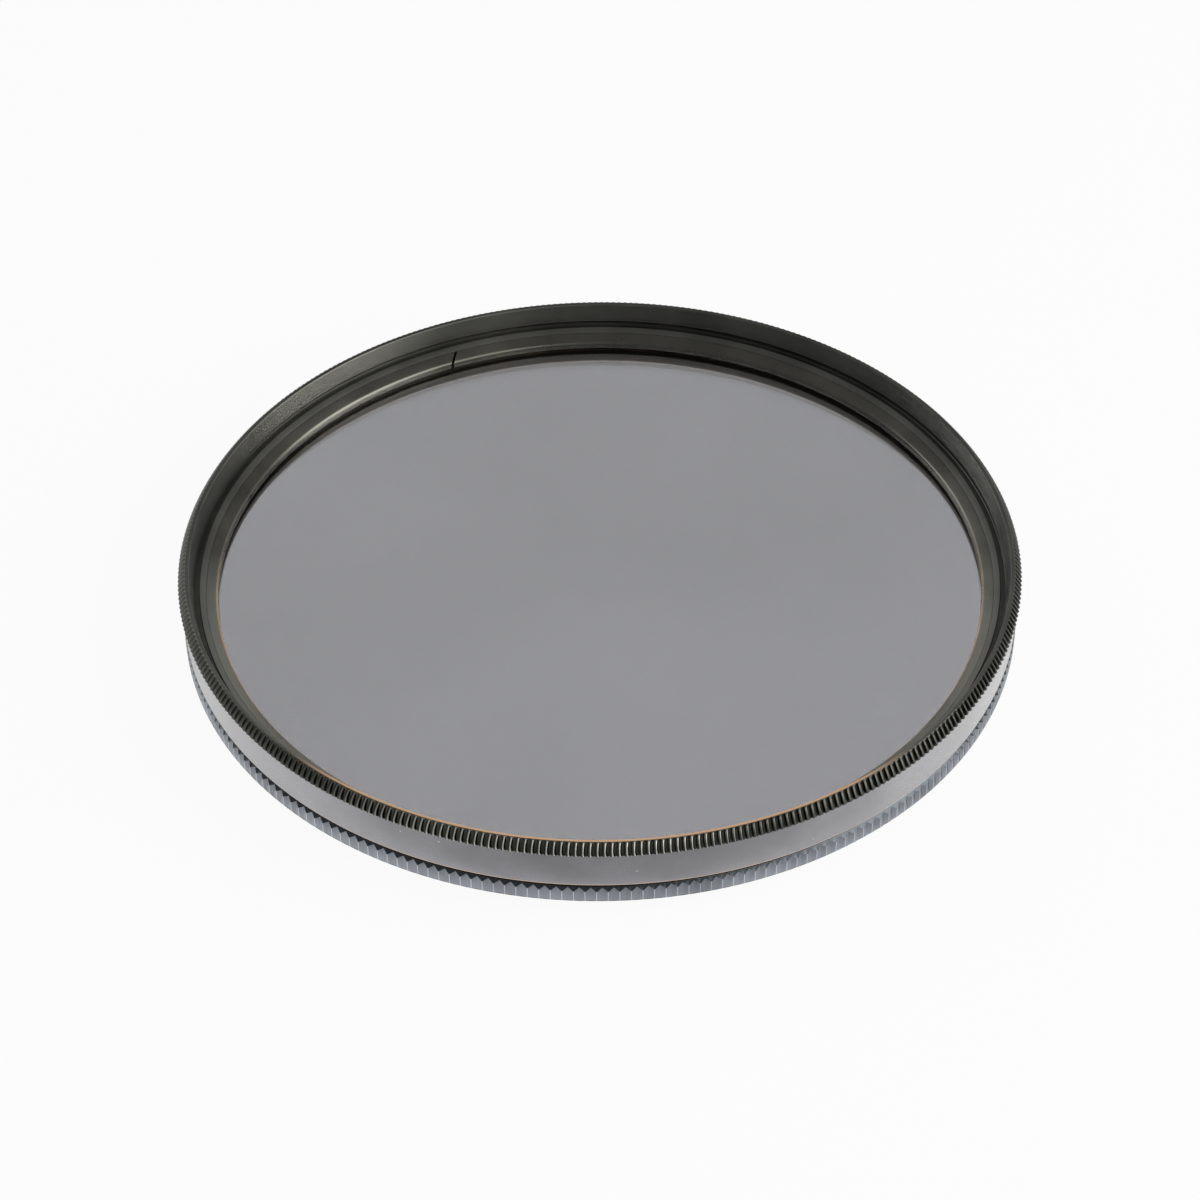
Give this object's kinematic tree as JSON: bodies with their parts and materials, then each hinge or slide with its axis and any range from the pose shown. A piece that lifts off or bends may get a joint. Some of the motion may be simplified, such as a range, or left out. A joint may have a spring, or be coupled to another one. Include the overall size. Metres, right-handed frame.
{
  "type": "screw in lens filter",
  "caption": "Round screw-in polarising filter: tinted glass in a knurled front ring that turns on a threaded rear ring fitted to a lens.",
  "frame": {"origin": "middle of the male thread's lower end, on the optical axis", "axes": "+Z along the optical axis, from the lens towards the subject; +X to the right and -Y towards the viewer in the picture"},
  "size_m": [0.08, 0.08, 0.0083],
  "materials": {
    "black_anodised": "black anodised, satin",
    "black_anodised_ring": "black anodised, satin, polished side band",
    "black_retainer": "black anodised, satin",
    "spring_steel": "plain spring wire",
    "optical_glass": "polished and coated",
    "polariser": "neutral grey film"
  },
  "bodies": {
    "rear_mount": {"rear_mount_ring": "black_anodised", "swivel_snap_ring": "spring_steel"},
    "front_ring": {"front_rotating_ring": "black_anodised_ring", "front_glass": "optical_glass", "polarising_film": "polariser", "rear_glass": "optical_glass", "glass_retaining_ring": "black_retainer"}
  },
  "joints": [
    {"name": "ring_turn", "type": "hinge", "parent": "rear_mount", "child": "front_ring", "pos_m": [0, 0, 0.0034], "axis": [0, 0, 1], "continuous": true}
  ]
}
